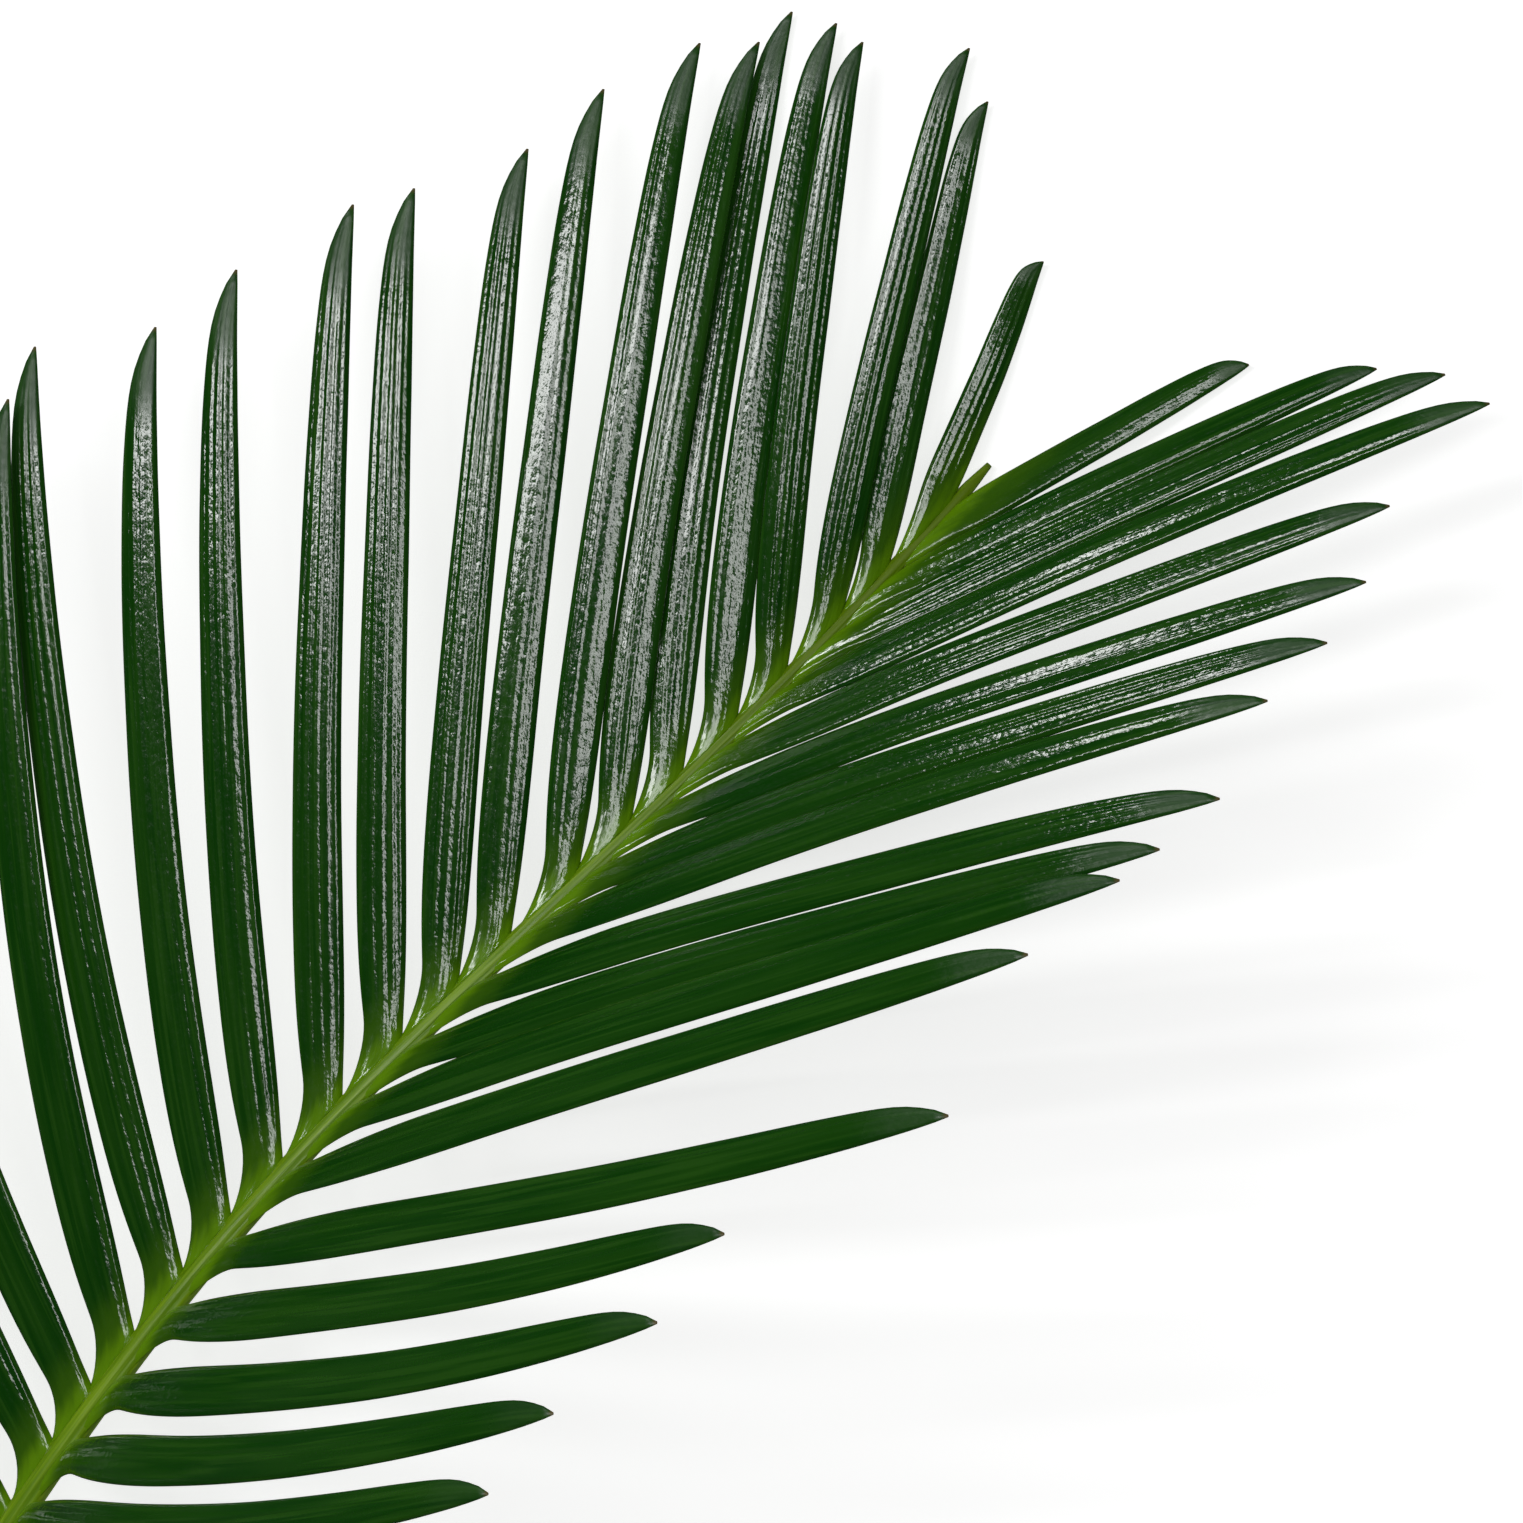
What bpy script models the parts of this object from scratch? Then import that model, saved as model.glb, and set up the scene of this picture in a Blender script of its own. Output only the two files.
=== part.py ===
"""A cut cycad frond that lies on a table: rachis, petiole, spines and two rows of leaflets in one grown piece.

The rachis runs along +X from the cut butt to the tip. Stations along it are in mm, measured back from the tip.
Left is +Y and right is -Y. The frond is keeled and rolled onto its left side, so it rests on the flat under the
butt, on the tips of the lower left leaflets and on the leaflets at its tip.
"""
import math
import random

import bpy
import numpy as np

MM = 0.001
LEFT = 1
RIGHT = -1

# The rachis: its length with the petiole, and the way it runs, as (station, degrees)
FROND_LENGTH = 420
BUTT_CENTRE = (-228.58, -36.41, 2.75)
HEADING = ((0, -6), (89, -10), (178, 2), (300, 5), (420, 6))
PITCH = ((0, -19), (89, -9), (178, 3), (300, 6.1), (420, 6))
ROLL = ((0, 2), (40, -19), (178, -37), (260, -44), (420, -44))
RACHIS_RADIUS = ((0, 0.4), (5, 0.85), (89, 1.3), (178, 1.85), (300, 2.4), (395, 2.85), (420, 3.9))
RACHIS_SIDES = 10
RACHIS_RINGS = 36
RACHIS_FLATNESS = 0.88

# The leaflets: one row a side, longest in the middle of the frond
COUNT = {LEFT: 36, RIGHT: 33}
SPACING = {LEFT: 9.38, RIGHT: 10.3}
FIRST_STATION = {LEFT: 11.5, RIGHT: 12}
REACH = ((0, 26), (36, 85), (71, 97), (107, 107), (150, 113.5), (200, 113), (260, 96), (340, 38))
WIDTH = ((0, 4.2), (40, 5.3), (85, 5.7), (110, 6.1), (160, 6.3), (220, 6.2), (340, 4.6))

# The way a leaflet points, in degrees: out from the rachis, up from its plane, and how far it bends on its way
SPLAY = ((0, 25.5), (60, 37.5), (120, 45.5), (178, 56.5), (340, 59.5))
KEEL = 24.5
SWEEP = {LEFT: ((0, 5), (35, 12), (60, 12), (85, 7), (112, 9), (140, 18), (178, 20), (420, 20)),
         RIGHT: ((0, -7), (30, -2), (90, 0), (120, 7), (150, 20), (178, 20), (420, 20))}
DROOP = {LEFT: ((0, 11), (420, 11)), RIGHT: ((0, 20), (178, 24), (420, 24))}
SLAT = 7
SLAT_FROM = 0.2

# How single leaflets stray, from the tip down: mm down the rachis, degrees back, degrees up, share of the length
SHIFT = {LEFT: (0, 0, -1, -1, -1.5, -1.5, -2, -2.5, -0.5, -1, -1, 0, 1, 1, 0.5, 1, 0, -1, -1),
         RIGHT: (0, 0, -1, -1.5, -1.5, -1.5, -1.5, -2.5, -2, -1.5, -1.5, -1, 0, 0.5, 1, 0.5)}
LEAN = {LEFT: (-8, 1, -0.5, 4, 1, -0.5, -2.5, -2.5, -2, -2, 0, -2.5, -2, -3.5, -2.5, -8),
        RIGHT: (-7.5, -3, -3.5, -3, -3.5, -2.5, -3, -3.5, -0.5, -2, -3, -3, 1.5, 2, 1.5, 1.5, 1.5)}
LIFT = {LEFT: (0, -1, 3, 4, 0, -4, -1, 1, 0, 0, 0, 0, 0, 0, 0, 1.5),
        RIGHT: (-5, 0, 0, 2, 0, 0, 0, 0, 0, -1, 0, 0, -1)}
GROWTH = {LEFT: (0.78, 0.96, 0.96, 0.91, 0.96, 1.03, 1.04, 1.07, 1.05, 1.01, 1, 1.03, 1.01, 1, 1.04, 1.04),
          RIGHT: (0.95, 1.03, 1.05, 1.09, 0.98, 1.02, 1.04, 1.02, 1.04, 1.04, 1.09, 1.08, 1.12, 0.95, 0.99,
                  0.95, 0.97)}
UNSEEN_FROM = 20
UNSEEN_LEAN = 1.5
SEED = 11

# The blade: its outline, as (share of the length, share of the width), and its arched cross section
BLADE_OUTLINE = ((0, 0.72), (0.1, 0.92), (0.2, 1), (0.35, 0.97), (0.55, 0.91), (0.75, 0.81), (0.87, 0.69),
                 (0.94, 0.53), (0.98, 0.28), (1, 0.05))
BLADE_STATIONS = (0, 0.06, 0.26, 0.5, 0.7, 0.84, 0.94, 1)
BLADE_THICKNESS = 0.62
BLADE_CROWN = 0.5
BLADE_CROWN_SHARE = 0.25
ROOT_LENGTH = 0.88
ROOT_DEPTH = 0.65
FLANK_OUT = 0.68
FLANK_UP = 0.35

# Leaflets that would pass through the table bend and lie on it
TABLE_CLEARANCE = 1.02
TABLE_SOFTNESS = 1.2
TABLE_REACH = 8

# The petiole: spines in place of leaflets, and the flat that the butt rests on
SPINE_STATIONS = (352, 363, 373, 384)
SPINE_LENGTH = 6
SPINE_RADIUS = 0.8
SPINE_SIDES = 5
SPINE_POINT = 0.12
SPINE_SHORTENS = 0.12
SPINE_FOOT = (0.3, 0.2)
SPINE_WAY = (0.75, 1, 0.35)
REST_FLAT_LENGTH = 26
CUTTER_MARGIN = 10


def along(keys, station):
    """Reads a smooth curve through (station, value) keys."""
    x = np.array([key[0] for key in keys], float)
    v = np.array([key[1] for key in keys], float)
    slope = np.gradient(v, x)
    slope[1:-1] = (v[2:] - v[:-2]) / (x[2:] - x[:-2])
    s = np.clip(np.asarray(station, float), x[0], x[-1])
    i = np.clip(np.searchsorted(x, s, side="right") - 1, 0, len(x) - 2)
    h = x[i + 1] - x[i]
    t = (s - x[i]) / h
    rise = 3 * t ** 2 - 2 * t ** 3
    start = t * (1 - t) ** 2
    end = t ** 2 * (t - 1)
    return v[i] * (1 - rise) + v[i + 1] * rise + h * (slope[i] * start + slope[i + 1] * end)


def unit(v):
    return v / np.linalg.norm(v)


class Rachis:
    """The centre line of the rachis, with its forward, left and up directions at any station."""

    def __init__(self, steps=168):
        self.stations = np.linspace(FROND_LENGTH, 0, steps + 1)
        middles = (self.stations[1:] + self.stations[:-1]) / 2
        heading = np.radians(along(HEADING, middles))
        pitch = np.radians(along(PITCH, middles))
        forward = np.stack([np.cos(pitch) * np.cos(heading), np.cos(pitch) * np.sin(heading), np.sin(pitch)], 1)
        runs = np.cumsum(forward, 0) * FROND_LENGTH / steps
        self.points = np.vstack([np.zeros(3), runs]) + np.array(BUTT_CENTRE)

    def point(self, station):
        return np.array([np.interp(-station, -self.stations, self.points[:, axis]) for axis in range(3)])

    def frame(self, station):
        heading = math.radians(along(HEADING, station))
        pitch = math.radians(along(PITCH, station))
        roll = math.radians(along(ROLL, station))
        forward = np.array([math.cos(pitch) * math.cos(heading), math.cos(pitch) * math.sin(heading), math.sin(pitch)])
        level_up = unit(np.array([0, 0, 1]) - forward[2] * forward)
        level_left = np.cross(level_up, forward)
        left = math.cos(roll) * level_left + math.sin(roll) * level_up
        up = math.cos(roll) * level_up - math.sin(roll) * level_left
        return forward, left, up


def stray(table, side, number, rule):
    return table[side][number] if number < len(table[side]) else rule


def lie_on_table(point):
    """Keeps a leaflet's centre line above the table, easing it flat where it would go lower."""
    height = point[2] - TABLE_CLEARANCE
    if height > TABLE_REACH * TABLE_SOFTNESS:
        return point
    eased = TABLE_SOFTNESS * math.log1p(math.exp(height / TABLE_SOFTNESS))
    return np.array([point[0], point[1], TABLE_CLEARANCE + eased])


def leaflet_sections(rachis, side, number, rng):
    """Returns the blade's sections from the root to the tip: centre, width direction, normal and width."""
    station = FIRST_STATION[side] + SPACING[side] * number + stray(SHIFT, side, number, 0)
    forward, left, up = rachis.frame(station)
    radius = along(RACHIS_RADIUS, station)
    chance = rng.uniform(-UNSEEN_LEAN, UNSEEN_LEAN) if number >= UNSEEN_FROM else 0
    splay = math.radians(along(SPLAY, station) + stray(LEAN, side, number, chance))
    lift = math.radians(KEEL + stray(LIFT, side, number, 0))
    sweep = math.radians(along(SWEEP[side], station))
    droop = math.radians(along(DROOP[side], station))
    length = along(REACH, station) * stray(GROWTH, side, number, 1)
    width = along(WIDTH, station)
    base = rachis.point(station) + radius * (side * FLANK_OUT * left + FLANK_UP * up)

    def heading(share):
        angle = splay + sweep * (0.5 - share)
        rise = lift + droop * (0.5 - share)
        out = side * math.cos(rise) * left + math.sin(rise) * up
        return math.cos(angle) * forward + math.sin(angle) * out, out

    direction, out = heading(0)
    root_normal = unit(np.cross(forward, out) * side)
    sections = [(base - ROOT_DEPTH * radius * out, forward, root_normal, ROOT_LENGTH * width)]
    centre = base
    for before, share in zip((0,) + BLADE_STATIONS[:-1], BLADE_STATIONS):
        direction, out = heading((before + share) / 2)
        centre = centre + direction * length * (share - before)
        direction, out = heading(share)
        across = unit(forward - (forward @ direction) * direction)
        normal = np.cross(across, direction) * side
        slat = math.radians(SLAT) * min(1, share / SLAT_FROM)
        tilted = math.cos(slat) * across + math.sin(slat) * normal
        normal = math.cos(slat) * normal - math.sin(slat) * across
        if share == 0:
            tilted = forward
            normal = root_normal
        sections.append((lie_on_table(centre), tilted, normal, width * along(BLADE_OUTLINE, share)))
    return sections


def blade_ring(centre, across, normal, width):
    """The six corners of one blade section: three above and three below, arched like the real blade."""
    crown = min(BLADE_CROWN, BLADE_CROWN_SHARE * width)
    corners = []
    for offset, top in ((-0.5, 1), (0, 1), (0.5, 1), (0.5, -1), (0, -1), (-0.5, -1)):
        height = crown * (0.5 if offset == 0 else -0.5) + top * BLADE_THICKNESS / 2
        corners.append(centre + across * width * offset + normal * height)
    return corners


def loft(rings, alike):
    """Joins closed rings into a closed solid of triangles, with the strips of both faces split alike."""
    count = len(rings[0])
    points = [point for ring in rings for point in ring]
    faces = []
    for row in range(len(rings) - 1):
        for k in range(count):
            a = row * count + k
            b = row * count + (k + 1) % count
            c = b + count
            d = a + count
            if k < alike:
                faces += [(a, b, c), (a, c, d)]
            else:
                faces += [(a, b, d), (b, c, d)]
    last = (len(rings) - 1) * count
    for k in range(1, count - 1):
        faces.append((0, k + 1, k))
        faces.append((last, last + k, last + k + 1))
    return points, faces


def solid(name, points, faces):
    """Makes a mesh object, in metres, with its faces pointing out."""
    mesh = bpy.data.meshes.new(name)
    mesh.from_pydata([tuple(float(v) * MM for v in point) for point in points], [], faces)
    corners = np.array(points)[np.array(faces)]
    volume = np.einsum("ij,ij->i", corners[:, 0], np.cross(corners[:, 1], corners[:, 2])).sum()
    if volume < 0:
        mesh.flip_normals()
    return bpy.data.objects.new(name, mesh)


def rachis_solid(rachis):
    """The rachis and petiole: a lofted stem, flat under the butt, that thins to a point at the tip."""
    rings = []
    for station in np.linspace(FROND_LENGTH, 0, RACHIS_RINGS):
        forward, left, up = rachis.frame(station)
        radius = along(RACHIS_RADIUS, station)
        centre = rachis.point(station)
        ring = []
        for k in range(RACHIS_SIDES):
            angle = 2 * math.pi * (k + 0.5) / RACHIS_SIDES
            ring.append(centre + radius * (math.cos(angle) * left + RACHIS_FLATNESS * math.sin(angle) * up))
        rings.append(ring)
    return solid("frond", *loft(rings, RACHIS_SIDES))


def leaflet_solid(rachis, side, number, rng):
    rings = [blade_ring(*section) for section in leaflet_sections(rachis, side, number, rng)]
    name = "leaflet_%s_%02d" % ("left" if side == LEFT else "right", number + 1)
    return solid(name, *loft(rings, 3))


def spine_solid(rachis, side, station, number):
    """A reduced leaflet on the petiole: a short sharp cone that points out and forward."""
    forward, left, up = rachis.frame(station)
    radius = along(RACHIS_RADIUS, station)
    base = rachis.point(station) + radius * (side * SPINE_FOOT[0] * left + SPINE_FOOT[1] * up)
    direction = unit(SPINE_WAY[0] * forward + side * SPINE_WAY[1] * left + SPINE_WAY[2] * up)
    across = unit(np.cross(direction, up))
    above = np.cross(across, direction)
    reach = SPINE_LENGTH * (1 - SPINE_SHORTENS * number) + radius
    rings = []
    for share, size in ((0, 1), (1, SPINE_POINT)):
        ring = []
        for k in range(SPINE_SIDES):
            angle = 2 * math.pi * k / SPINE_SIDES
            offset = math.cos(angle) * across + math.sin(angle) * above
            ring.append(base + direction * reach * share + offset * SPINE_RADIUS * size)
        rings.append(ring)
    name = "spine_%s_%d" % ("left" if side == LEFT else "right", number + 1)
    return solid(name, *loft(rings, SPINE_SIDES))


def flat_cutter():
    """A block whose top face is the table: it cuts the resting flat under the butt."""
    x, y = BUTT_CENTRE[:2]
    low = (x - CUTTER_MARGIN, y - CUTTER_MARGIN, -CUTTER_MARGIN)
    high = (x + REST_FLAT_LENGTH, y + CUTTER_MARGIN, 0)
    corners = [(i, j, k) for k in (low[2], high[2]) for j in (low[1], high[1]) for i in (low[0], high[0])]
    faces = [(0, 2, 3, 1), (4, 5, 7, 6), (0, 1, 5, 4), (1, 3, 7, 5), (3, 2, 6, 7), (2, 0, 4, 6)]
    mesh = bpy.data.meshes.new("flat_cutter")
    mesh.from_pydata([tuple(v * MM for v in corner) for corner in corners], [], faces)
    return bpy.data.objects.new("flat_cutter", mesh)


def apply_modifiers(target):
    bpy.context.view_layer.update()
    depsgraph = bpy.context.evaluated_depsgraph_get()
    fused = bpy.data.meshes.new_from_object(target.evaluated_get(depsgraph))
    target.modifiers.clear()
    target.data = fused


def fuse(target, pieces, operation):
    """Joins the pieces to the target, or cuts them out of it, and removes them."""
    group = bpy.data.collections.new("pieces")
    bpy.context.scene.collection.children.link(group)
    for piece in pieces:
        group.objects.link(piece)
    boolean = target.modifiers.new("fuse", "BOOLEAN")
    boolean.operand_type = "COLLECTION"
    boolean.collection = group
    boolean.operation = operation
    boolean.solver = "MANIFOLD"
    apply_modifiers(target)
    for piece in pieces:
        bpy.data.objects.remove(piece)
    bpy.data.collections.remove(group)


def leaf_material():
    material = bpy.data.materials.new("leaf")
    material.use_nodes = True
    shader = material.node_tree.nodes["Principled BSDF"]
    shader.inputs["Base Color"].default_value = (0.012, 0.085, 0.01, 1)
    shader.inputs["Roughness"].default_value = 0.35
    shader.inputs["Metallic"].default_value = 0
    return material


def main():
    for item in list(bpy.data.objects):
        bpy.data.objects.remove(item)
    rng = random.Random(SEED)
    rachis = Rachis()
    frond = rachis_solid(rachis)
    bpy.context.scene.collection.objects.link(frond)
    pieces = []
    for side in (LEFT, RIGHT):
        pieces += [leaflet_solid(rachis, side, number, rng) for number in range(COUNT[side])]
        pieces += [spine_solid(rachis, side, station, i) for i, station in enumerate(SPINE_STATIONS)]
    fuse(frond, pieces, "UNION")
    fuse(frond, [flat_cutter()], "DIFFERENCE")
    frond.data.materials.clear()
    frond.data.materials.append(leaf_material())
    frond.data.shade_flat()


main()
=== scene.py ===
"""A cut cycad frond on a pale table: fine leaflets, rachis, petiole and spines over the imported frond.

The posture repeats the frond's own rule: stations run along the rachis in mm, from 0 at its tip. Left is
+Y. Shapes are worked out in mm and become metres when a mesh is made.
"""

import math
import random

import bpy
import numpy as np
from mathutils import Matrix


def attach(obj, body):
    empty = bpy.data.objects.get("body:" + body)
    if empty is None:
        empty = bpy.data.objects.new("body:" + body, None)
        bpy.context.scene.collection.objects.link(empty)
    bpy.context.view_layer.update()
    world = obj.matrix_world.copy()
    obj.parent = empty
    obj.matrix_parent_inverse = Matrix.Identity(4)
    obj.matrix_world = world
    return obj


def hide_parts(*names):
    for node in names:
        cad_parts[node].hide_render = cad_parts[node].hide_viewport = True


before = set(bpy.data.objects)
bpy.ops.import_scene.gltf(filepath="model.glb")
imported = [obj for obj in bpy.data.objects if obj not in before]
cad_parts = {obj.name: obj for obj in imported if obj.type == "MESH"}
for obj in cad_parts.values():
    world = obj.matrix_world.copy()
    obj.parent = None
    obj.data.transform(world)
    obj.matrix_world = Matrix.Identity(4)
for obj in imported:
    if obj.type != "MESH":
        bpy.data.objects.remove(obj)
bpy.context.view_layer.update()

MM = 0.001
LEFT = 1
RIGHT = -1

# The rachis: its length with the petiole, and the way it runs, as (station, degrees)
FROND_LENGTH = 420
BUTT_CENTRE = (-228.58, -36.41, 2.75)
HEADING = ((0, -6), (89, -10), (178, 2), (300, 5), (420, 6))
PITCH = ((0, -19), (89, -9), (178, 3), (300, 6.1), (420, 6))
ROLL = ((0, 2), (40, -19), (178, -37), (260, -44), (420, -44))
RACHIS_RADIUS = ((0, 0.4), (5, 0.85), (89, 1.3), (178, 1.85), (300, 2.4), (395, 2.85), (420, 3.9))
RACHIS_FLATNESS = 0.88
CENTRE_LINE_STEPS = 168

# The surface of the rachis: two grooves along its upper face, and a swelling under each leaflet
RACHIS_SIDES = 40
RACHIS_STEP = 0.9
GROOVE_ANGLE = 38
GROOVE_SPAN = 9
RACHIS_GROOVE = 0.11
GROOVE_STARTS = (3, 25)
GROOVE_ENDS = (395, 415)
BASE_SWELL = 0.07
SWELL_BELOW = 1.2
SWELL_LENGTH = 3
SWELL_ANGLE = 63
SWELL_SPAN = 24

# The leaflets: one row a side, longest in the middle of the frond
COUNT = {LEFT: 36, RIGHT: 33}
SPACING = {LEFT: 9.38, RIGHT: 10.3}
FIRST_STATION = {LEFT: 11.5, RIGHT: 12}
REACH = ((0, 26), (36, 85), (71, 97), (107, 107), (150, 113.5), (200, 113), (260, 96), (340, 38))
WIDTH = ((0, 4.2), (40, 5.3), (85, 5.7), (110, 6.1), (160, 6.3), (220, 6.2), (340, 4.6))
SPLAY = ((0, 25.5), (60, 37.5), (120, 45.5), (178, 56.5), (340, 59.5))
KEEL = 24.5
SWEEP = {LEFT: ((0, 5), (35, 12), (60, 12), (85, 7), (112, 9), (140, 18), (178, 20), (420, 20)),
         RIGHT: ((0, -7), (30, -2), (90, 0), (120, 7), (150, 20), (178, 20), (420, 20))}
DROOP = {LEFT: ((0, 11), (420, 11)), RIGHT: ((0, 20), (178, 24), (420, 24))}
SLAT = 7
SLAT_FROM = 0.2

# How single leaflets stray, from the tip down: mm down the rachis, degrees back, degrees up, length
SHIFT = {LEFT: (0, 0, -1, -1, -1.5, -1.5, -2, -2.5, -0.5, -1, -1, 0, 1, 1, 0.5, 1, 0, -1, -1),
         RIGHT: (0, 0, -1, -1.5, -1.5, -1.5, -1.5, -2.5, -2, -1.5, -1.5, -1, 0, 0.5, 1, 0.5)}
LEAN = {LEFT: (-8, 1, -0.5, 4, 1, -0.5, -2.5, -2.5, -2, -2, 0, -2.5, -2, -3.5, -2.5, -8),
        RIGHT: (-7.5, -3, -3.5, -3, -3.5, -2.5, -3, -3.5, -0.5, -2, -3, -3, 1.5, 2, 1.5, 1.5, 1.5)}
LIFT = {LEFT: (0, -1, 3, 4, 0, -4, -1, 1, 0, 0, 0, 0, 0, 0, 0, 1.5),
        RIGHT: (-5, 0, 0, 2, 0, 0, 0, 0, 0, -1, 0, 0, -1)}
GROWTH = {LEFT: (0.78, 0.96, 0.96, 0.91, 0.96, 1.03, 1.04, 1.07, 1.05, 1.01, 1, 1.03, 1.01, 1, 1.04, 1.04),
          RIGHT: (0.95, 1.03, 1.05, 1.09, 0.98, 1.02, 1.04, 1.02, 1.04, 1.04, 1.09, 1.08, 1.12, 0.95, 0.99,
                  0.95, 0.97)}
UNSEEN_FROM = 20
UNSEEN_LEAN = 1.5
POSTURE_SEED = 11

# Where a leaflet would go through the table it is eased flat, in mm
TABLE_CLEARANCE = 1.02
TABLE_SOFTNESS = 1.2
TABLE_REACH = 8

# The blade's outline as (share of length, share of width), and how far its point leans to one side
BLADE_OUTLINE = ((0, 0.66), (0.1, 0.92), (0.2, 1), (0.35, 0.97), (0.55, 0.91), (0.75, 0.81), (0.87, 0.69),
                 (0.94, 0.53), (0.98, 0.28), (1, 0.05))
TIP_SKEW = ((0, 0), (0.55, 0), (0.75, 0.23), (0.87, 0.5), (0.94, 0.7), (1, 0.8))
TIP_SIDE = {LEFT: 1, RIGHT: -0.8}
BLADE_STEPS = 58
BLADE_CROWDING = 0.96

# The blade's section in mm: arched, with rolled margins, grooves and fine ridges above and a rib below
TOP_POINTS = 27
UNDER_POINTS = 7
BLADE_ARCH = 0.3
MARGIN_ROLL = 0.22
MARGIN_ROLL_FROM = 0.86
MARGIN_OUT = 1.03
BLADE_THICKNESS = 0.5
MARGIN_THICKNESS = 0.26
BASE_THICKNESS = 1.1
BASE_REACH = 7
FULL_HALF_WIDTH = 2.2
POINT_THINNESS = 0.35
GROOVE_PLACES = (-0.62, -0.2, 0.22, 0.63)
GROOVE_DEPTH = 0.07
GROOVE_WIDTH = 0.09
WAVE_HEIGHT = 0.035
WAVE_SPAN = 0.46
RIB_HEIGHT = 0.16
RIB_WIDTH = 0.14
RIDGES_START = (2, 12)
RIDGES_END = (0.86, 1)

# Ranges for the small differences from leaflet to leaflet
LOOK_SEED = 400
GROOVE_STRAY = 0.05
GROOVE_DEPTHS = (0.5, 1.2)
WAVE_SIZES = (0.7, 1.2)
SWAY_SIZES = (0.05, 0.2)
SWAY_PHASES = (0, 6)
SWAY_TURNS = (5, 9)
SWAY_START = (0.05, 0.3)
PATTERN_PLACES = (0, 400)

# The foot of a leaflet: how far its lower margin runs down the rachis, and where it has become the blade
FULL_WIDTH = 6
FLANK_OUT = 0.68
FLANK_UP = 0.35
ROOT_DEPTH = 0.65
FOOT_RUN = 6.6
FOOT_REACH = 6
FOOT_REACH_LEAST = 0.4
FOOT_SHARE_MOST = 0.3
FOOT_STEPS = 12
FOOT_CROWDING = 1.3
FOOT_BEND = 2.2
FOOT_RISE = 0.18
SHARPEST_SINE = 0.35

# The petiole's spines
SPINE_STATIONS = (352, 363, 373, 384)
SPINE_SIDES = 12
SPINE_STEPS = 9
SPINE_LENGTH = 6
SPINE_RADIUS = 0.8
SPINE_POINT = 0.12
SPINE_TAPER = 0.8
SPINE_SHORTENS = 0.12
SPINE_FLARE = 0.8
SPINE_FLARE_END = (0.2, 0.5)
SPINE_BEND = 0.6
SPINE_FOOT = (0.3, 0.2)
SPINE_WAY = (0.75, 1, 0.35)

# The leaflets' finish. A pattern has its turns per mm across, along and from leaflet to leaflet
LEAF_DARK = (0.003, 0.046, 0.0006)
LEAF_MID = (0.008, 0.058, 0.002)
LEAF_LINE = (0.018, 0.082, 0.005)
LEAF_YOUNG = (0.035, 0.11, 0.002)
LEAF_FOOT = (0.12, 0.27, 0.002)
LEAF_TIP = (0.12, 0.09, 0.03)
LEAF_UNDER = (0.045, 0.10, 0.022)
BROAD_STREAKS = (0.6, 0.03, 1)
BROAD_RANGE = (0.36, 0.62)
FINE_STREAKS = (1.7, 0.04, 1)
FINE_RANGE = (0.45, 0.66)
FINE_SHARE = 0.7
FOOT_PATCHES = (1.1, 0.3, 1)
FOOT_PATCH_REACH = 2
YOUNG_RANGE = (3.5, 8)
FOOT_RANGE = (1.4, 3.8)
TIP_RANGE = (0.992, 1)
UNDER_RANGE = (0.3, 0.1)
GRAIN = (1.6, 0.9, 1)
GRAIN_ROUGHNESS = 0.55
GRAIN_RANGE = (0.3, 0.7)
GRAIN_HEIGHT = 0.055
VEINS = (1.5, 0.03, 1)
VEIN_HEIGHT = 0.075
GLOSS = (0.1, 0.15)
DULL_TIP_RANGE = (0.87, 0.95)
DULL_TIP = 0.3
LEAF_IOR = 1.48

# The finish of the rachis and the spines, in the same way
RACHIS_GREEN = (0.11, 0.23, 0.001)
RACHIS_OLIVE = (0.10, 0.16, 0.002)
RACHIS_PALE = (0.21, 0.36, 0.004)
BUTT_BROWN = (0.13, 0.075, 0.025)
RACHIS_STREAKS = (2.2, 0.06, 1)
STREAK_RANGE = (0.35, 0.7)
OLIVE_RANGE = (90, 20)
OLIVE_SHARE = 0.7
# Painted shade: how far the two grooves along the rachis are coloured back to the darker green
GROOVE_PAINTED_SHADE = 0.6
BROWN_RANGE = (396, 418)
RACHIS_GLOSS = (0.3, 0.42)
RACHIS_SPECULAR = 0.35
FIBRES = (3.5, 0.12, 1)
FIBRE_HEIGHT = 0.07
SPINE_GREEN = (0.10, 0.15, 0.01)
SPINE_TIP = (0.12, 0.055, 0.015)
SPINE_TIP_RANGE = (0.55, 0.95)
SPINE_ROUGHNESS = 0.4

# The camera, in mm: it looks down on the frond's upper end, leaning towards its tip
CAMERA_TARGET = (140.3, -34.8, 15)
CAMERA_DISTANCE = 1100
CAMERA_LEAN = 8
CAMERA_SPIN = 53.6
FIELD_WIDTH = 186.2
SENSOR = 36

# The soft boxes: direction from the frond as (right, up, back), size in metres, tilt, brightness
LIGHT_DISTANCE = 2
LIGHTS = {
    "strip_left": ((-0.5, 0.23, 0.83), (1.0, 0.25), 4, 19),
    "strip_right": ((0.05, 0.06, 1.0), (1.4, 0.22), -30, 10),
    "rim": ((-0.63, 0.72, 0.28), (0.24, 0.28), 0, 22),
}
WORLD_LIGHT = 0.04

# The floor, in metres
FLOOR_SIDE = 12
FLOOR_DROP = 0.0002
FLOOR_COLOUR = (0.6, 0.6, 0.6, 1)
FLOOR_ROUGHNESS = 0.9
FLOOR_GLOW = 0.73


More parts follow.
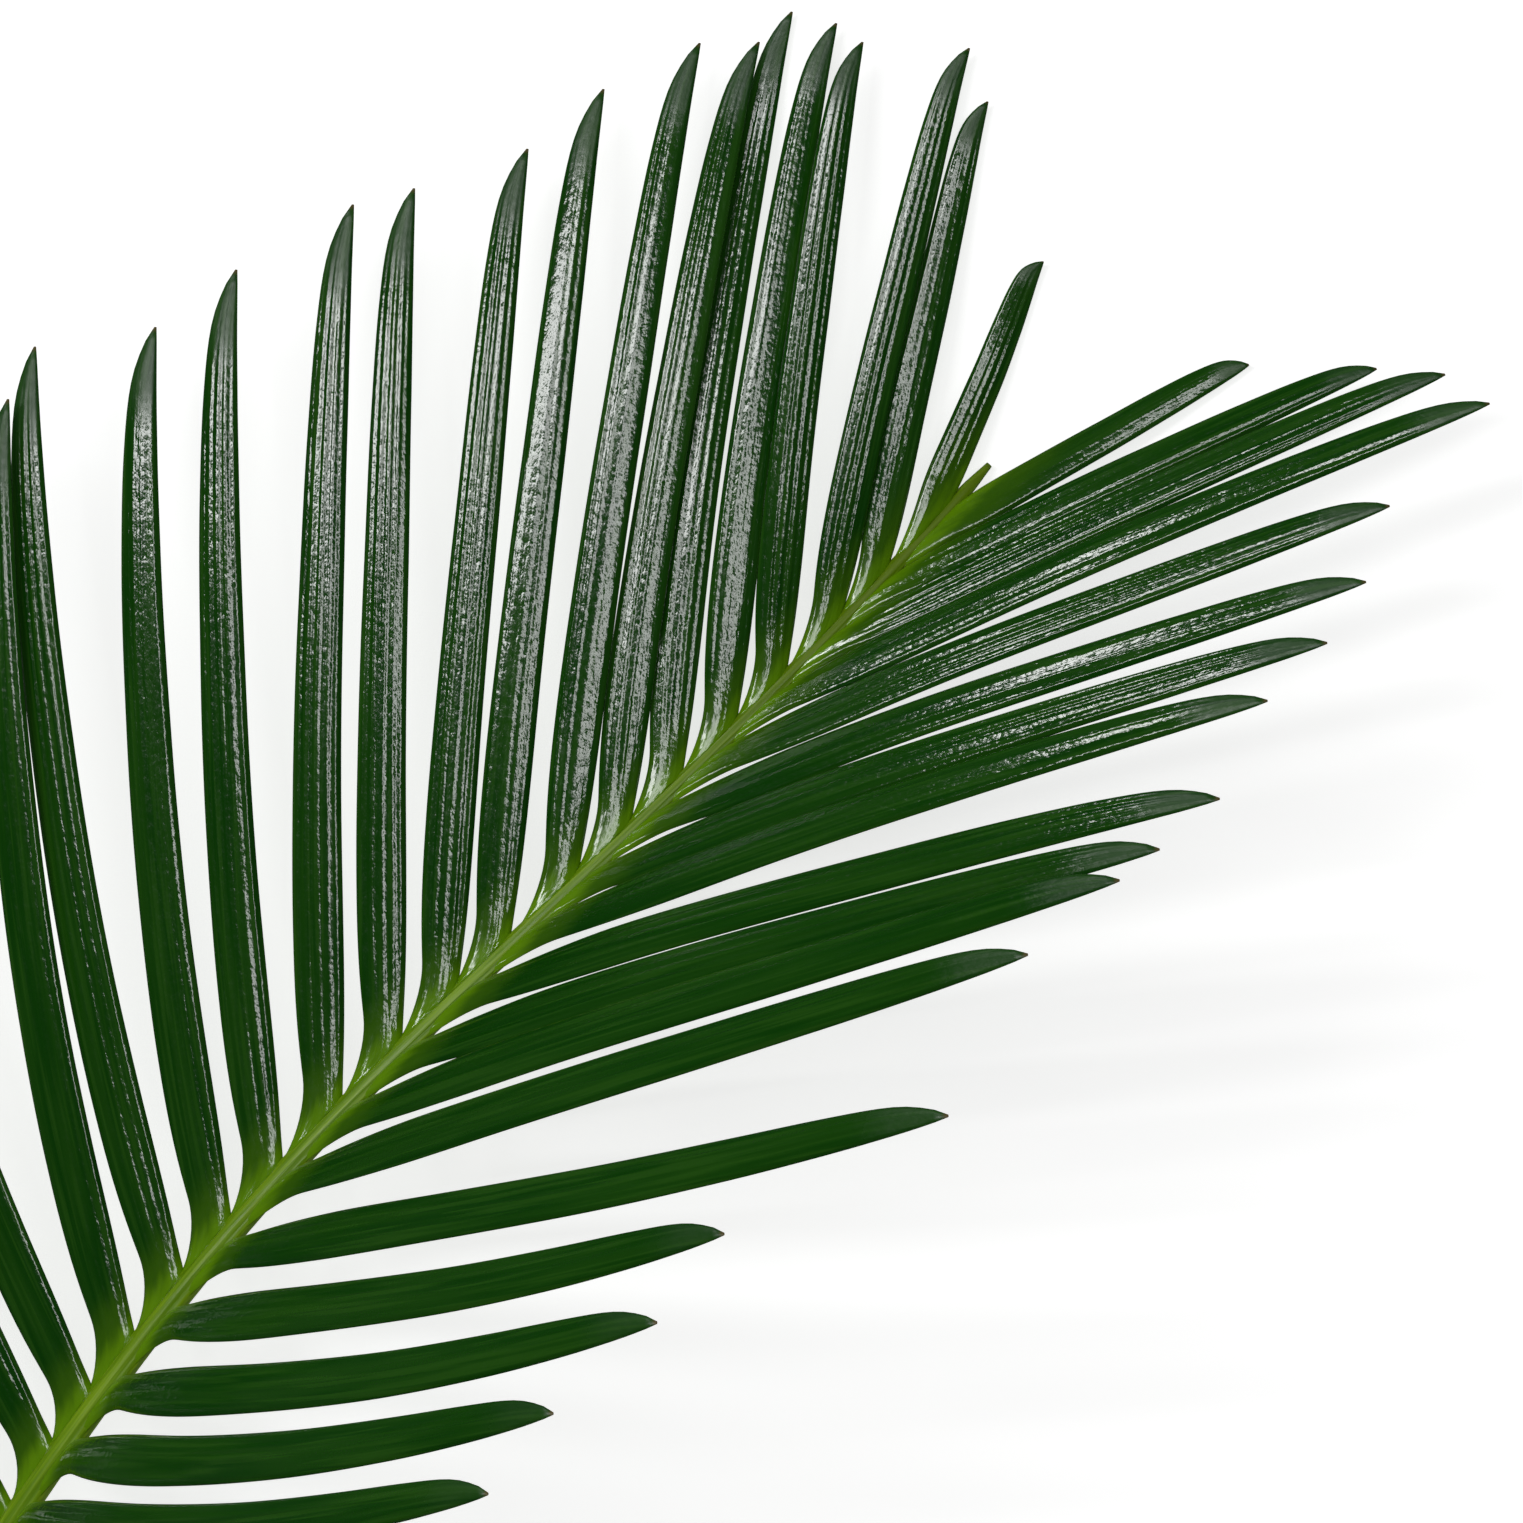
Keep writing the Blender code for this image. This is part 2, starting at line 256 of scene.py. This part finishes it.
def along(keys, station):
    """Reads a smooth curve through (station, value) keys."""
    x = np.array([key[0] for key in keys], float)
    v = np.array([key[1] for key in keys], float)
    slope = np.gradient(v, x)
    slope[1:-1] = (v[2:] - v[:-2]) / (x[2:] - x[:-2])
    s = np.clip(np.asarray(station, float), x[0], x[-1])
    i = np.clip(np.searchsorted(x, s, side="right") - 1, 0, len(x) - 2)
    h = x[i + 1] - x[i]
    t = (s - x[i]) / h
    rise = 3 * t ** 2 - 2 * t ** 3
    start = t * (1 - t) ** 2
    end = t ** 2 * (t - 1)
    return v[i] * (1 - rise) + v[i + 1] * rise + h * (slope[i] * start + slope[i + 1] * end)


def unit(v):
    return v / np.linalg.norm(v)


def ease(low, high, value):
    """Rises smoothly from 0 at low to 1 at high."""
    t = np.clip((value - low) / (high - low), 0, 1)
    return t * t * (3 - 2 * t)


def run_way(heading, pitch):
    """The direction that runs at these two angles, in radians."""
    level = np.cos(pitch)
    return np.stack([level * np.cos(heading), level * np.sin(heading), np.sin(pitch)], -1)


def columns(count, *values):
    """One row for each point of a ring: a single number is the same all round it."""
    return np.stack([np.broadcast_to(value, count) for value in values], 1)


class Rachis:
    """The centre line of the rachis, with its forward, left and up directions at any station."""

    def __init__(self):
        self.stations = np.linspace(FROND_LENGTH, 0, CENTRE_LINE_STEPS + 1)
        middles = (self.stations[1:] + self.stations[:-1]) / 2
        forward = run_way(np.radians(along(HEADING, middles)), np.radians(along(PITCH, middles)))
        runs = np.cumsum(forward, 0) * FROND_LENGTH / CENTRE_LINE_STEPS
        self.points = np.vstack([np.zeros(3), runs]) + np.array(BUTT_CENTRE)

    def point(self, station):
        return np.array([np.interp(-station, -self.stations, self.points[:, axis]) for axis in range(3)])

    def frame(self, station):
        roll = math.radians(along(ROLL, station))
        forward = run_way(math.radians(along(HEADING, station)), math.radians(along(PITCH, station)))
        level_up = unit(np.array([0, 0, 1]) - forward[2] * forward)
        level_left = np.cross(level_up, forward)
        left = math.cos(roll) * level_left + math.sin(roll) * level_up
        up = math.cos(roll) * level_up - math.sin(roll) * level_left
        return forward, left, up


def stray(table, side, number, rule):
    """A leaflet's own value in a table, or the rule's value past the table's end."""
    return table[side][number] if number < len(table[side]) else rule


def station_of(side, number):
    return FIRST_STATION[side] + SPACING[side] * number + stray(SHIFT, side, number, 0)


def lie_on_table(point):
    """Keeps a leaflet's centre line above the table, easing it flat where it would go lower."""
    height = point[2] - TABLE_CLEARANCE
    if height > TABLE_REACH * TABLE_SOFTNESS:
        return point
    eased = TABLE_SOFTNESS * math.log1p(math.exp(height / TABLE_SOFTNESS))
    return np.array([point[0], point[1], TABLE_CLEARANCE + eased])


def is_inside_out(rings):
    """Tells whether a tube through these rings would have its faces pointing in."""
    first, second = np.array(rings[len(rings) // 2]), np.array(rings[len(rings) // 2 + 1])
    out = first[0] - first.mean(0)
    normal = np.cross(first[1] - first[0], second[0] - first[0])
    return normal @ out < 0


class Mesh:
    """Collects points, faces and the values that the materials read."""

    def __init__(self):
        self.points = []
        self.faces = []
        self.place = []
        self.zone = []

    def add_tube(self, rings, places, zones):
        """Adds a closed tube through the rings, with its two ends capped and its faces pointing out."""
        if is_inside_out(rings):
            rings = [ring[::-1] for ring in rings]
            places = [place[::-1] for place in places]
            zones = [zone[::-1] for zone in zones]
        start = len(self.points)
        count = len(rings[0])
        for ring, place, zone in zip(rings, places, zones):
            self.points += [tuple(p) for p in ring]
            self.place += [tuple(p) for p in place]
            self.zone += [tuple(z) for z in zone]
        for row in range(len(rings) - 1):
            for k in range(count):
                a = start + row * count + k
                b = start + row * count + (k + 1) % count
                self.faces.append((a, b, b + count, a + count))
        last = start + (len(rings) - 1) * count
        self.faces.append(tuple(range(start + count - 1, start - 1, -1)))
        self.faces.append(tuple(range(last, last + count)))

    def make(self, name, material):
        mesh = bpy.data.meshes.new(name)
        mesh.from_pydata([tuple(c * MM for c in p) for p in self.points], [], self.faces)
        for label, values in (("place", self.place), ("zone", self.zone)):
            attribute = mesh.attributes.new(label, "FLOAT_VECTOR", "POINT")
            attribute.data.foreach_set("vector", np.array(values, np.float32).ravel())
        mesh.shade_smooth()
        mesh.materials.append(material)
        item = bpy.data.objects.new(name, mesh)
        bpy.context.scene.collection.objects.link(item)
        return item


def leaf_look(side, number):
    """Small differences from leaflet to leaflet, which don't change how it lies."""
    rng = random.Random(LOOK_SEED + number * 2 + (side == LEFT))
    return {
        "grooves": [place + rng.uniform(-GROOVE_STRAY, GROOVE_STRAY) for place in GROOVE_PLACES],
        "depths": [GROOVE_DEPTH * rng.uniform(*GROOVE_DEPTHS) for _ in GROOVE_PLACES],
        "wave": rng.uniform(*WAVE_SIZES),
        "wave_phase": rng.uniform(0, 1),
        "sway": rng.uniform(*SWAY_SIZES),
        "sway_phase": rng.uniform(*SWAY_PHASES),
        "sway_turns": rng.uniform(*SWAY_TURNS),
        "mark": rng.uniform(*PATTERN_PLACES),
    }


def section_shape(half_width, share, reach, look):
    """The blade's section: each point's place across, its height, and 1 above to 0 below."""
    top = np.linspace(-1, 1, TOP_POINTS)
    under = np.linspace(1, -1, UNDER_POINTS + 2)[1:-1]
    narrow = min(1, half_width / FULL_HALF_WIDTH)
    ridge_fade = ease(*RIDGES_START, reach) * (1 - ease(*RIDGES_END, share)) * narrow
    margin = MARGIN_THICKNESS * narrow
    middle = BLADE_THICKNESS + (BASE_THICKNESS - BLADE_THICKNESS) * (1 - ease(0, BASE_REACH, reach))
    middle *= POINT_THINNESS + (1 - POINT_THINNESS) * narrow

    def arch(u):
        roll = MARGIN_ROLL * ease(MARGIN_ROLL_FROM, 1, np.abs(u))
        return (BLADE_ARCH * (0.5 - np.abs(u) ** 2) - roll) * narrow

    def half_thickness(u):
        return 0.5 * (margin + (middle - margin) * (1 - np.abs(u) ** 3))

    grooves = np.zeros_like(top)
    for place, depth in zip(look["grooves"], look["depths"]):
        grooves += depth * np.exp(-((top - place) / GROOVE_WIDTH) ** 2)
    wave = WAVE_HEIGHT * look["wave"] * np.cos(2 * np.pi * (top / WAVE_SPAN + look["wave_phase"]))
    height_top = arch(top) + half_thickness(top) - (grooves + wave * (1 - top ** 4)) * ridge_fade
    rib = RIB_HEIGHT * np.exp(-(under / RIB_WIDTH) ** 2) * ridge_fade
    height_under = arch(under) - half_thickness(under) - rib
    across = np.concatenate([top, [MARGIN_OUT], under, [-MARGIN_OUT]])
    height = np.concatenate([height_top, [arch(1.0)], height_under, [arch(-1.0)]])
    facing = np.concatenate([np.ones(TOP_POINTS), [0.5], np.zeros(UNDER_POINTS), [0.5]])
    return across * half_width, height, facing


class Leaflet:
    """One leaflet's place, directions and sizes, by the rule and by how it strays."""

    def __init__(self, rachis, side, number, posture):
        station = station_of(side, number)
        chance = posture.uniform(-UNSEEN_LEAN, UNSEEN_LEAN) if number >= UNSEEN_FROM else 0
        self.side = side
        self.forward, self.left, self.up = rachis.frame(station)
        self.radius = float(along(RACHIS_RADIUS, station))
        self.splay = math.radians(along(SPLAY, station) + stray(LEAN, side, number, chance))
        self.lift = math.radians(KEEL + stray(LIFT, side, number, 0))
        self.sweep = math.radians(along(SWEEP[side], station))
        self.droop = math.radians(along(DROOP[side], station))
        self.length = float(along(REACH, station)) * stray(GROWTH, side, number, 1)
        self.width = float(along(WIDTH, station))
        flank = side * FLANK_OUT * self.left + FLANK_UP * self.up
        self.base = rachis.point(station) + self.radius * flank
        self.foot_out = self.heading(0)[1]
        self.foot_normal = unit(np.cross(self.forward, self.foot_out) * side)
        foot_reach = FOOT_REACH * (FOOT_REACH_LEAST + (1 - FOOT_REACH_LEAST) * self.width / FULL_WIDTH)
        self.foot_share = min(FOOT_SHARE_MOST, foot_reach / self.length)

    def shares(self):
        """Where the rings lie, as shares of the length, closest together in the foot."""
        foot = self.foot_share * np.linspace(0, 1, FOOT_STEPS + 1) ** FOOT_CROWDING
        blade = (1 - self.foot_share) * np.linspace(0, 1, BLADE_STEPS + 1)[1:] ** BLADE_CROWDING
        return np.concatenate([foot, self.foot_share + blade])

    def heading(self, share):
        """The way that the leaflet runs at a share of its length, and the way out of the rachis there."""
        angle = self.splay + self.sweep * (0.5 - share)
        rise = self.lift + self.droop * (0.5 - share)
        out = self.side * math.cos(rise) * self.left + math.sin(rise) * self.up
        return math.cos(angle) * self.forward + math.sin(angle) * out, out

    def blade_axes(self, share):
        """The blade's across direction, towards the frond's tip, and its upper side's direction."""
        direction, _ = self.heading(share)
        level = unit(self.forward - (self.forward @ direction) * direction)
        above = np.cross(level, direction) * self.side
        slat = math.radians(SLAT) * min(1, share / SLAT_FROM)
        across = math.cos(slat) * level + math.sin(slat) * above
        normal = math.cos(slat) * above - math.sin(slat) * level
        return across, normal

    def foot_line(self, share, centre, half, across, offsets):
        """The foot: its far margin leaves the rachis at a sharp angle, its near one runs down along it."""
        grown = share / self.foot_share
        to_far = half / max(SHARPEST_SINE, math.sin(self.splay + self.sweep * 0.5))
        far = self.base + self.forward * to_far
        far = far + (centre + across * half - far) * grown
        run = FOOT_RUN * min(1, self.width / FULL_WIDTH)
        start = self.base - self.forward * run + self.foot_out * FOOT_RISE * self.radius
        bend = (1 - grown) ** FOOT_BEND
        near = (centre - across * half) * (1 - bend) + start * bend
        return near + np.outer((offsets / half + 1) / 2, far - near)

    def from_rachis(self, ring):
        """How far each point of a ring is from the line of the rachis."""
        out = ring - self.base
        return np.linalg.norm(out - np.outer(out @ self.forward, self.forward), axis=1)


def leaflet_rings(leaf, look):
    """The rings of one leaflet, from its foot in the rachis to its tip, with their places and zones."""
    rings, places, zones = [], [], []
    centre = leaf.base
    before = 0
    for share in leaf.shares():
        direction, _ = leaf.heading((before + share) / 2)
        centre = centre + direction * leaf.length * (share - before)
        before = share
        across, normal = leaf.blade_axes(share)
        half = 0.5 * leaf.width * float(along(BLADE_OUTLINE, share))
        spot = lie_on_table(centre)
        reach = share * leaf.length
        offsets, heights, facing = section_shape(half, share, reach, look)
        sway = look["sway"] * math.sin(look["sway_phase"] + share * look["sway_turns"])
        sway *= ease(*SWAY_START, share)
        skew = -half * TIP_SIDE[leaf.side] * float(along(TIP_SKEW, share))
        ring = spot + np.outer(offsets + skew, across) + np.outer(heights + sway, normal)
        is_blade = ease(0, leaf.foot_share, share)
        if is_blade < 1:
            rise = np.outer(heights, unit(leaf.foot_normal * (1 - is_blade) + normal * is_blade))
            foot = leaf.foot_line(share, spot, half, across, offsets) + rise
            ring = foot * (1 - is_blade) + ring * is_blade
        ring[:, 2] = np.maximum(ring[:, 2], 0)
        rings.append(ring)
        places.append(columns(len(ring), offsets, reach, look["mark"]))
        zones.append(columns(len(ring), share, leaf.from_rachis(ring), facing))
    root = rings[0] - leaf.foot_out * ROOT_DEPTH * leaf.radius
    return [root] + rings, places[:1] + places, zones[:1] + zones


def leaflets(name, rachis, side, posture, material):
    mesh = Mesh()
    for number in range(COUNT[side]):
        leaf = Leaflet(rachis, side, number, posture)
        mesh.add_tube(*leaflet_rings(leaf, leaf_look(side, number)))
    return mesh.make(name, material)


def rachis_piece(rachis, material):
    """The rachis and petiole, with two grooves along its upper face and a swelling under each leaflet."""
    mesh = Mesh()
    rings, places, zones = [], [], []
    turn = np.linspace(0, 2 * np.pi, RACHIS_SIDES, endpoint=False)
    from_up = np.degrees(np.arctan2(np.cos(turn), np.sin(turn)))
    groove = np.exp(-((np.abs(from_up) - GROOVE_ANGLE) / GROOVE_SPAN) ** 2)
    feet = {side: [station_of(side, number) for number in range(COUNT[side])] for side in (LEFT, RIGHT)}
    for station in np.linspace(FROND_LENGTH, 0, int(FROND_LENGTH / RACHIS_STEP) + 1):
        _, left, up = rachis.frame(station)
        radius = float(along(RACHIS_RADIUS, station))
        depth = RACHIS_GROOVE * ease(*GROOVE_STARTS, station) * (1 - ease(*GROOVE_ENDS, station))
        size = 1 - depth * groove
        for side in (LEFT, RIGHT):
            gap = min(abs(station - foot - SWELL_BELOW) for foot in feet[side])
            flank = np.exp(-((from_up - side * SWELL_ANGLE) / SWELL_SPAN) ** 2)
            size = size + BASE_SWELL * math.exp(-(gap / SWELL_LENGTH) ** 2) * flank
        ring = rachis.point(station) + np.outer(radius * size * np.cos(turn), left)
        ring = ring + np.outer(radius * size * RACHIS_FLATNESS * np.sin(turn), up)
        ring[:, 2] = np.maximum(ring[:, 2], 0)
        rings.append(ring)
        places.append(columns(RACHIS_SIDES, radius * turn, station, 0))
        zones.append(columns(RACHIS_SIDES, station, from_up, groove))
    mesh.add_tube(rings, places, zones)
    return mesh.make("rachis", material)


def spines_piece(rachis, material):
    """The petiole's spines: leaflets reduced to short sharp cones that curve towards the tip."""
    mesh = Mesh()
    turn = np.linspace(0, 2 * np.pi, SPINE_SIDES, endpoint=False)
    for side in (LEFT, RIGHT):
        for number, station in enumerate(SPINE_STATIONS):
            forward, left, up = rachis.frame(station)
            radius = float(along(RACHIS_RADIUS, station))
            base = rachis.point(station) + radius * (side * SPINE_FOOT[0] * left + SPINE_FOOT[1] * up)
            direction = unit(SPINE_WAY[0] * forward + side * SPINE_WAY[1] * left + SPINE_WAY[2] * up)
            across = unit(np.cross(direction, up))
            above = np.cross(across, direction)
            reach = SPINE_LENGTH * (1 - SPINE_SHORTENS * number) + radius
            rings, places, zones = [], [], []
            for share in np.linspace(0, 1, SPINE_STEPS):
                size = SPINE_RADIUS * (SPINE_POINT + (1 - SPINE_POINT) * (1 - share) ** SPINE_TAPER)
                flare = 1 + SPINE_FLARE * (1 - ease(*SPINE_FLARE_END, share))
                centre = base + direction * reach * share - forward * SPINE_BEND * (share - share ** 2)
                outline = flare * np.outer(np.cos(turn), across) + np.outer(np.sin(turn), above)
                rings.append(centre + size * outline)
                places.append(columns(SPINE_SIDES, turn, reach * share, station))
                zones.append(columns(SPINE_SIDES, share, 0, 0))
            mesh.add_tube(rings, places, zones)
    return mesh.make("spines", material)


class Nodes:
    """Short names for the shader nodes that the materials use."""

    def __init__(self, name):
        self.material = bpy.data.materials.new(name)
        self.material.use_nodes = True
        self.tree = self.material.node_tree
        self.shader = self.tree.nodes["Principled BSDF"]

    def put(self, socket, value):
        if isinstance(value, bpy.types.NodeSocket):
            self.tree.links.new(value, socket)
        else:
            socket.default_value = value

    def read(self, name):
        """A value that the mesh holds at each point."""
        node = self.tree.nodes.new("ShaderNodeAttribute")
        node.attribute_name = name
        return node.outputs["Vector"]

    def split(self, vector):
        node = self.tree.nodes.new("ShaderNodeSeparateXYZ")
        self.put(node.inputs[0], vector)
        return node.outputs[0], node.outputs[1], node.outputs[2]

    def math(self, operation, a, b):
        node = self.tree.nodes.new("ShaderNodeMath")
        node.operation = operation
        self.put(node.inputs[0], a)
        self.put(node.inputs[1], b)
        return node.outputs[0]

    def stretch(self, vector, scale):
        node = self.tree.nodes.new("ShaderNodeVectorMath")
        node.operation = "MULTIPLY"
        self.put(node.inputs[0], vector)
        node.inputs[1].default_value = scale
        return node.outputs[0]

    def noise(self, vector, scale, detail=2, roughness=0.5):
        node = self.tree.nodes.new("ShaderNodeTexNoise")
        self.put(node.inputs["Vector"], self.stretch(vector, scale))
        node.inputs["Scale"].default_value = 1
        node.inputs["Detail"].default_value = detail
        node.inputs["Roughness"].default_value = roughness
        return node.outputs["Fac"]

    def ramp(self, value, low, high, to_low=0, to_high=1):
        node = self.tree.nodes.new("ShaderNodeMapRange")
        node.interpolation_type = "SMOOTHSTEP"
        for socket, number in zip(node.inputs, (value, low, high, to_low, to_high)):
            self.put(socket, number)
        return node.outputs["Result"]

    def mix(self, factor, a, b):
        node = self.tree.nodes.new("ShaderNodeMix")
        node.data_type = "RGBA"
        self.put(node.inputs["Factor"], factor)
        for socket, colour in zip([s for s in node.inputs if s.type == "RGBA"], (a, b)):
            self.put(socket, colour if isinstance(colour, bpy.types.NodeSocket) else (*colour, 1))
        return [s for s in node.outputs if s.type == "RGBA"][0]

    def bump(self, height_mm):
        node = self.tree.nodes.new("ShaderNodeBump")
        node.inputs["Strength"].default_value = 1
        node.inputs["Distance"].default_value = MM
        self.put(node.inputs["Height"], height_mm)
        return node.outputs[0]


def leaflet_material():
    """Glossy dark green, streaked along the blade, yellow-green at the foot and brown at the point."""
    n = Nodes("leaflet")
    place = n.read("place")
    share, from_rachis, facing = n.split(n.read("zone"))
    broad = n.noise(place, BROAD_STREAKS)
    fine = n.noise(place, FINE_STREAKS)
    colour = n.mix(n.ramp(broad, *BROAD_RANGE), LEAF_DARK, LEAF_MID)
    colour = n.mix(n.math("MULTIPLY", n.ramp(fine, *FINE_RANGE), FINE_SHARE), colour, LEAF_LINE)
    patches = n.math("MULTIPLY", n.noise(place, FOOT_PATCHES), FOOT_PATCH_REACH)
    foot = n.math("ADD", from_rachis, patches)
    colour = n.mix(n.ramp(foot, *YOUNG_RANGE, 1, 0), colour, LEAF_YOUNG)
    colour = n.mix(n.ramp(foot, *FOOT_RANGE, 1, 0), colour, LEAF_FOOT)
    colour = n.mix(n.ramp(share, *TIP_RANGE), colour, LEAF_TIP)
    colour = n.mix(n.ramp(facing, *UNDER_RANGE), colour, LEAF_UNDER)
    n.put(n.shader.inputs["Base Color"], colour)
    grain = n.noise(place, GRAIN, roughness=GRAIN_ROUGHNESS)
    gloss = n.ramp(grain, *GRAIN_RANGE, *GLOSS)
    dull_tip = n.ramp(share, *DULL_TIP_RANGE, 0, DULL_TIP)
    n.put(n.shader.inputs["Roughness"], n.math("ADD", gloss, dull_tip))
    n.shader.inputs["Metallic"].default_value = 0
    n.shader.inputs["IOR"].default_value = LEAF_IOR
    veins = n.noise(place, VEINS, detail=1)
    height = n.math("ADD", n.math("MULTIPLY", grain, GRAIN_HEIGHT), n.math("MULTIPLY", veins, VEIN_HEIGHT))
    n.put(n.shader.inputs["Normal"], n.bump(height))
    return n.material


def rachis_material():
    """Bright yellow-green, fibrous along its length, with painted shade in its two grooves, brown at the
    cut butt.
    """
    n = Nodes("rachis")
    place = n.read("place")
    station, _, groove = n.split(n.read("zone"))
    streak = n.noise(place, RACHIS_STREAKS, detail=3)
    colour = n.mix(n.ramp(streak, *STREAK_RANGE), RACHIS_GREEN, RACHIS_PALE)
    colour = n.mix(n.ramp(station, *OLIVE_RANGE, 0, OLIVE_SHARE), colour, RACHIS_OLIVE)
    # Painted shade: the grooves are coloured darker, towards the plain green
    colour = n.mix(n.math("MULTIPLY", groove, GROOVE_PAINTED_SHADE), colour, RACHIS_GREEN)
    colour = n.mix(n.ramp(station, *BROWN_RANGE), colour, BUTT_BROWN)
    n.put(n.shader.inputs["Base Color"], colour)
    n.put(n.shader.inputs["Roughness"], n.ramp(streak, *GRAIN_RANGE, *RACHIS_GLOSS))
    n.shader.inputs["Metallic"].default_value = 0
    n.shader.inputs["Specular IOR Level"].default_value = RACHIS_SPECULAR
    fibres = n.noise(place, FIBRES, detail=3)
    n.put(n.shader.inputs["Normal"], n.bump(n.math("MULTIPLY", fibres, FIBRE_HEIGHT)))
    return n.material


def spine_material():
    """Green at the foot of a spine, brown towards its point."""
    n = Nodes("spine")
    share, _, _ = n.split(n.read("zone"))
    n.put(n.shader.inputs["Base Color"], n.mix(n.ramp(share, *SPINE_TIP_RANGE), SPINE_GREEN, SPINE_TIP))
    n.shader.inputs["Roughness"].default_value = SPINE_ROUGHNESS
    return n.material


def view_axes():
    """The camera's right, up and back directions, in the frond's own frame."""
    lean = math.radians(CAMERA_LEAN)
    back = np.array([math.sin(lean), 0, math.cos(lean)])
    level = unit(np.array([1, 0, 0]) - back[0] * back)
    other = np.cross(back, level)
    spin = math.radians(CAMERA_SPIN)
    right = math.cos(spin) * level - math.sin(spin) * other
    up = math.sin(spin) * level + math.cos(spin) * other
    return right, up, back


def pose(item, right, up, back, point):
    """Places a camera or a light, which looks along its own -Z."""
    turn = np.stack([right, up, back], 1).tolist()
    rows = [[*row, place] for row, place in zip(turn, point)]
    item.matrix_world = Matrix(rows + [[0, 0, 0, 1]])


def add_camera():
    right, up, back = view_axes()
    data = bpy.data.cameras.new("camera")
    data.sensor_width = SENSOR
    data.lens = SENSOR * CAMERA_DISTANCE / FIELD_WIDTH
    data.clip_start = 0.05
    data.clip_end = 50
    item = bpy.data.objects.new("camera", data)
    bpy.context.scene.collection.objects.link(item)
    pose(item, right, up, back, (np.array(CAMERA_TARGET) + CAMERA_DISTANCE * back) * MM)
    bpy.context.scene.camera = item


def add_light(name, way, size, tilt, brightness):
    """A soft box of a given brightness, so that a larger one gives more light."""
    right, up, back = view_axes()
    data = bpy.data.lights.new(name, "AREA")
    data.shape = "RECTANGLE"
    data.size, data.size_y = size
    data.energy = brightness * math.pi * size[0] * size[1]
    item = bpy.data.objects.new(name, data)
    bpy.context.scene.collection.objects.link(item)
    away = unit(way[0] * right + way[1] * up + way[2] * back)
    level = unit(right - (right @ away) * away)
    tilt = math.radians(tilt)
    wide = math.cos(tilt) * level + math.sin(tilt) * np.cross(away, level)
    pose(item, wide, np.cross(away, wide), away, np.array(CAMERA_TARGET) * MM + LIGHT_DISTANCE * away)
    item.visible_camera = False


def add_floor():
    """A pale floor that glows a little, and that the glossy leaflets don't mirror."""
    half = FLOOR_SIDE / 2
    mesh = bpy.data.meshes.new("floor")
    corners = [(x, y, -FLOOR_DROP) for x, y in ((-half, -half), (half, -half), (half, half), (-half, half))]
    mesh.from_pydata(corners, [], [(0, 1, 2, 3)])
    floor = bpy.data.objects.new("floor", mesh)
    bpy.context.scene.collection.objects.link(floor)
    n = Nodes("floor")
    n.shader.inputs["Base Color"].default_value = FLOOR_COLOUR
    n.shader.inputs["Roughness"].default_value = FLOOR_ROUGHNESS
    n.shader.inputs["Emission Color"].default_value = (1, 1, 1, 1)
    n.shader.inputs["Emission Strength"].default_value = FLOOR_GLOW
    mesh.materials.append(n.material)
    floor.visible_glossy = False


def set_world():
    world = bpy.data.worlds.new("studio")
    bpy.context.scene.world = world
    world.use_nodes = True
    world.node_tree.nodes["Background"].inputs["Color"].default_value = (WORLD_LIGHT,) * 3 + (1,)
    bpy.context.scene.view_settings.view_transform = "Standard"


add_camera()
for name, values in LIGHTS.items():
    add_light(name, *values)
add_floor()
set_world()
rachis = Rachis()
posture = random.Random(POSTURE_SEED)
leaf_finish = leaflet_material()
pieces = {
    "leaflets_left": (leaflets("leaflets_left", rachis, LEFT, posture, leaf_finish), "leaflet"),
    "leaflets_right": (leaflets("leaflets_right", rachis, RIGHT, posture, leaf_finish), "leaflet"),
    "rachis": (rachis_piece(rachis, rachis_material()), "rachis"),
    "spines": (spines_piece(rachis, spine_material()), "rachis"),
}
for piece, slot in pieces.values():
    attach(piece, "root")
    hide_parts("frond")
